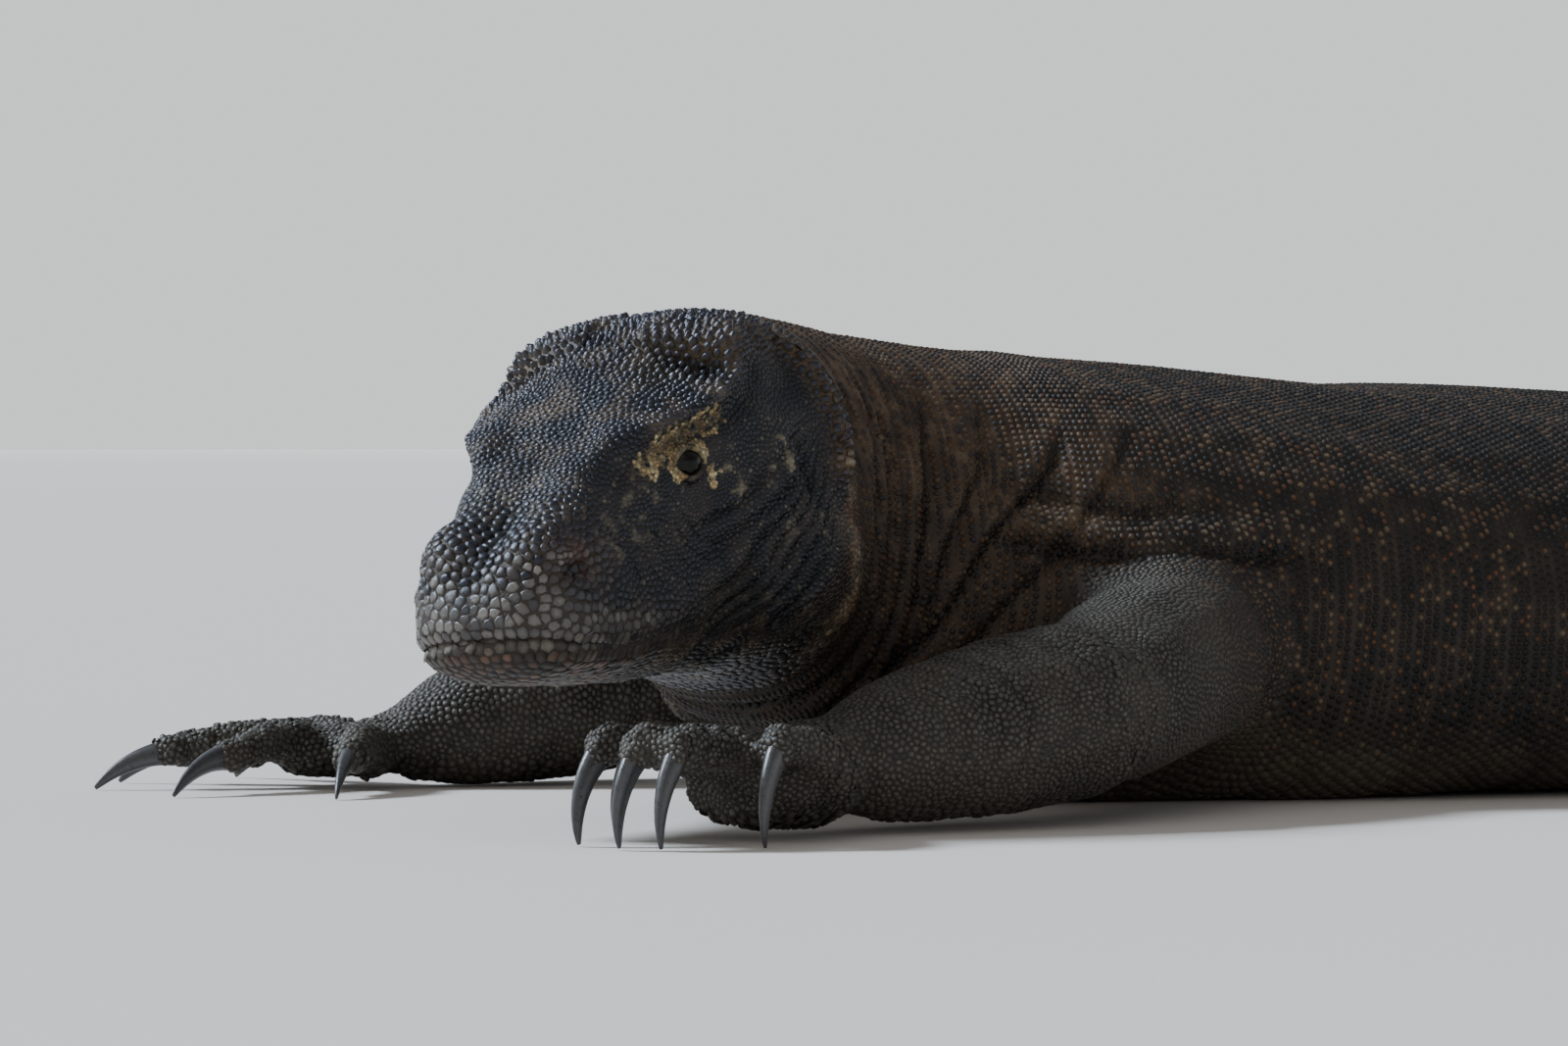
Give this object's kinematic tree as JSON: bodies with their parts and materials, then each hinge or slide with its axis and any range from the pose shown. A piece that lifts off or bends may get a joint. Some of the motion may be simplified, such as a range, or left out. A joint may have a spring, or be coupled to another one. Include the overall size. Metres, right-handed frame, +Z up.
{
  "type": "komodo dragon figure",
  "caption": "Life-size Komodo dragon lying flat on its belly, head low and turned to its left, mouth closed, legs sprawled, tail trailing on the floor.",
  "frame": {"origin": "bottom centre of the model's box, on the floor", "axes": "+Z up; the animal faces -X, its left side is towards -Y, its tail trails towards +X"},
  "size_m": [2.4812, 0.9618, 0.2051],
  "materials": {
    "head": "dark slate scales, dull",
    "jaw": "pale tan scales, dull",
    "body": "dark brown beaded scales, dull",
    "limb": "dark grey-brown beaded scales, dull",
    "claw": "dark grey horn, polished",
    "eye": "wet, near black"
  },
  "bodies": {
    "root": {"head": "head", "lower_jaw": "jaw", "neck": "body", "thorax": "body", "loin": "body", "tail_1": "body", "tail_2": "body", "tail_3": "body", "tail_4": "body", "left_upper_arm": "limb", "left_forearm": "limb", "left_hand": "limb", "left_thigh": "limb", "left_shank": "limb", "left_foot": "limb", "left_eye": "eye", "right_upper_arm": "limb", "right_forearm": "limb", "right_hand": "limb", "right_thigh": "limb", "right_shank": "limb", "right_foot": "limb", "right_eye": "eye", "left_hand_claw_1": "claw", "left_hand_claw_2": "claw", "left_hand_claw_3": "claw", "left_hand_claw_4": "claw", "left_hand_claw_5": "claw", "right_hand_claw_1": "claw", "right_hand_claw_2": "claw", "right_hand_claw_3": "claw", "right_hand_claw_4": "claw", "right_hand_claw_5": "claw", "left_foot_claw_1": "claw", "left_foot_claw_2": "claw", "left_foot_claw_3": "claw", "left_foot_claw_4": "claw", "left_foot_claw_5": "claw", "right_foot_claw_1": "claw", "right_foot_claw_2": "claw", "right_foot_claw_3": "claw", "right_foot_claw_4": "claw", "right_foot_claw_5": "claw"}
  },
  "joints": []
}
